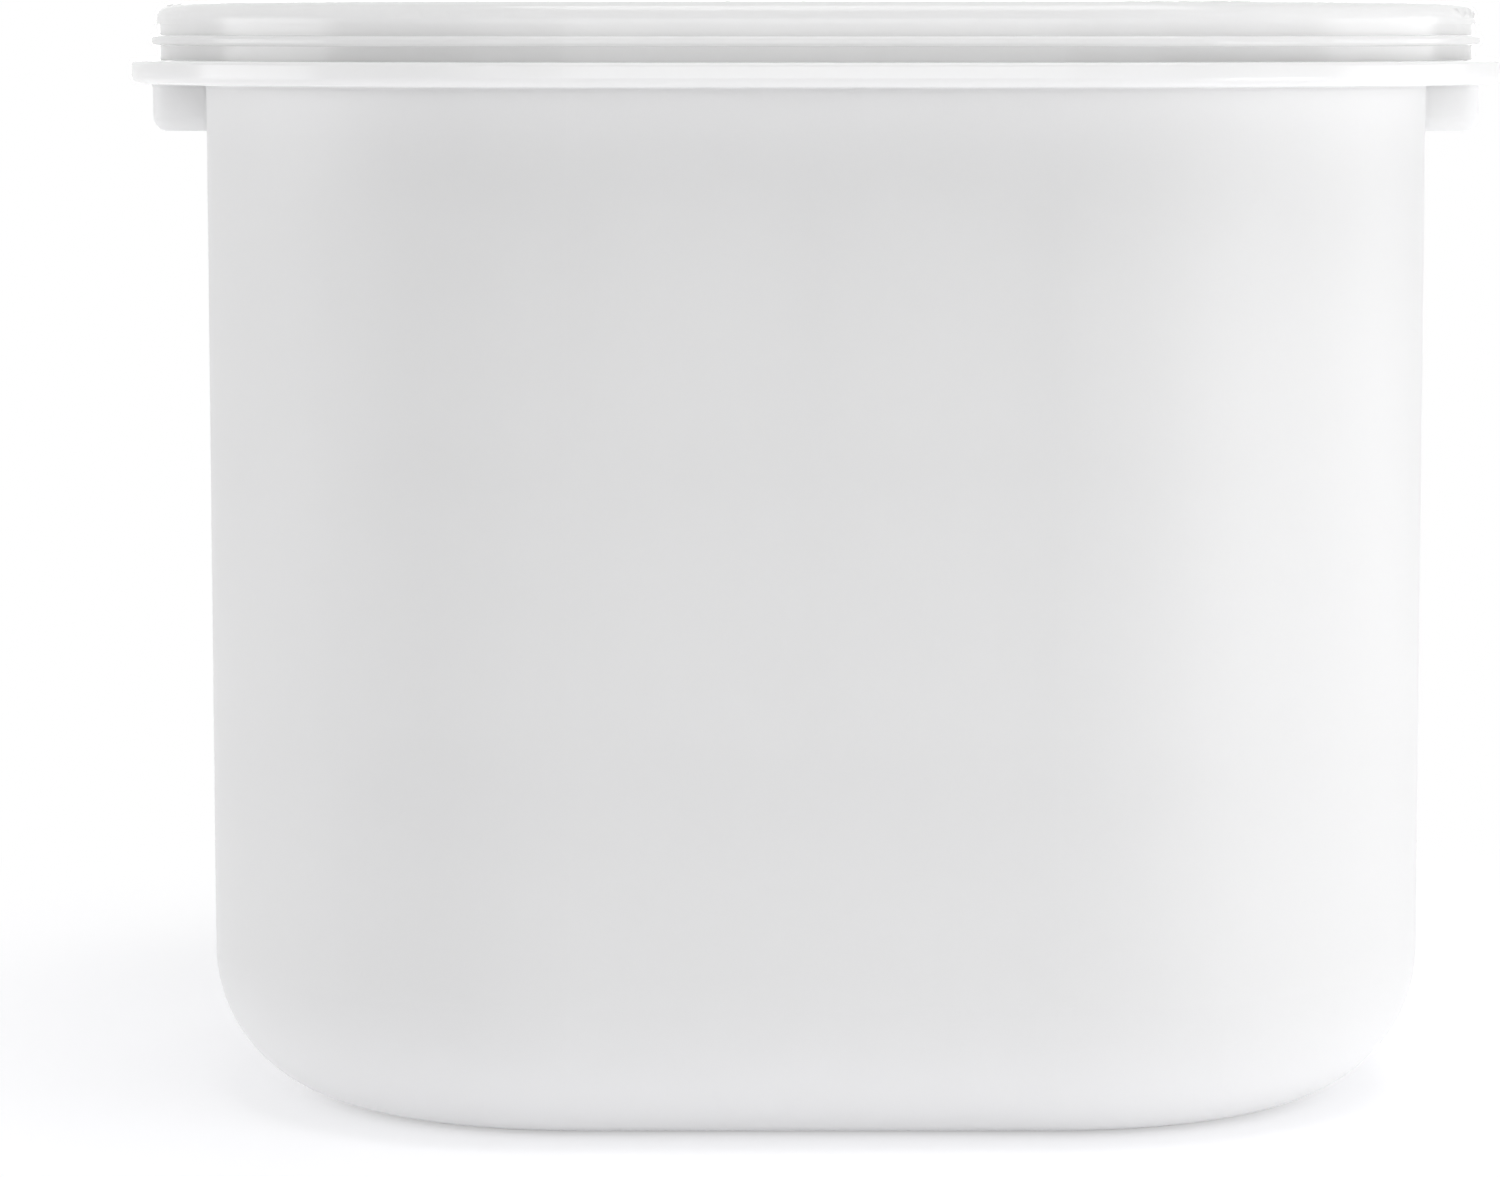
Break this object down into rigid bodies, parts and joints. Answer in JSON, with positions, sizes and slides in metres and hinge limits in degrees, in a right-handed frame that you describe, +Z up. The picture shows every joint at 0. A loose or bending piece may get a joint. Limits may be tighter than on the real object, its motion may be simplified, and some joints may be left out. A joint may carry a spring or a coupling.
{
  "type": "yogurt maker tub with strainer",
  "caption": "Open rounded-square moulded tub with a flanged neck and grip lugs, and a mesh draining basket that hangs inside on a ledge and lifts out by a folding handle.",
  "frame": {"origin": "middle of the tub's underside", "axes": "+Z up, front towards -Y, grip lugs towards -X and +X"},
  "size_m": [0.1348, 0.1348, 0.1081],
  "materials": {
    "tub_plastic": "satin natural polypropylene, slightly translucent white",
    "strainer_plastic": "satin white polypropylene",
    "mesh": "woven white nylon monofilament",
    "handle_plastic": "satin white polypropylene",
    "pin_steel": "turned stainless steel"
  },
  "bodies": {
    "tub": {"tub": "tub_plastic"},
    "strainer": {"strainer_frame": "strainer_plastic", "mesh_front": "mesh", "mesh_back": "mesh", "mesh_left": "mesh", "mesh_right": "mesh", "mesh_floor": "mesh", "handle_pin_left": "pin_steel", "handle_pin_right": "pin_steel"},
    "handle": {"handle": "handle_plastic"}
  },
  "joints": [
    {"name": "strainer_lift", "type": "slide", "parent": "tub", "child": "strainer", "axis": [0, 0, 1], "range_m": [0, 0.11]},
    {"name": "handle_swing", "type": "hinge", "parent": "strainer", "child": "handle", "pos_m": [0, 0, 0.10095], "axis": [1, 0, 0], "range_deg": [0, 90]}
  ]
}
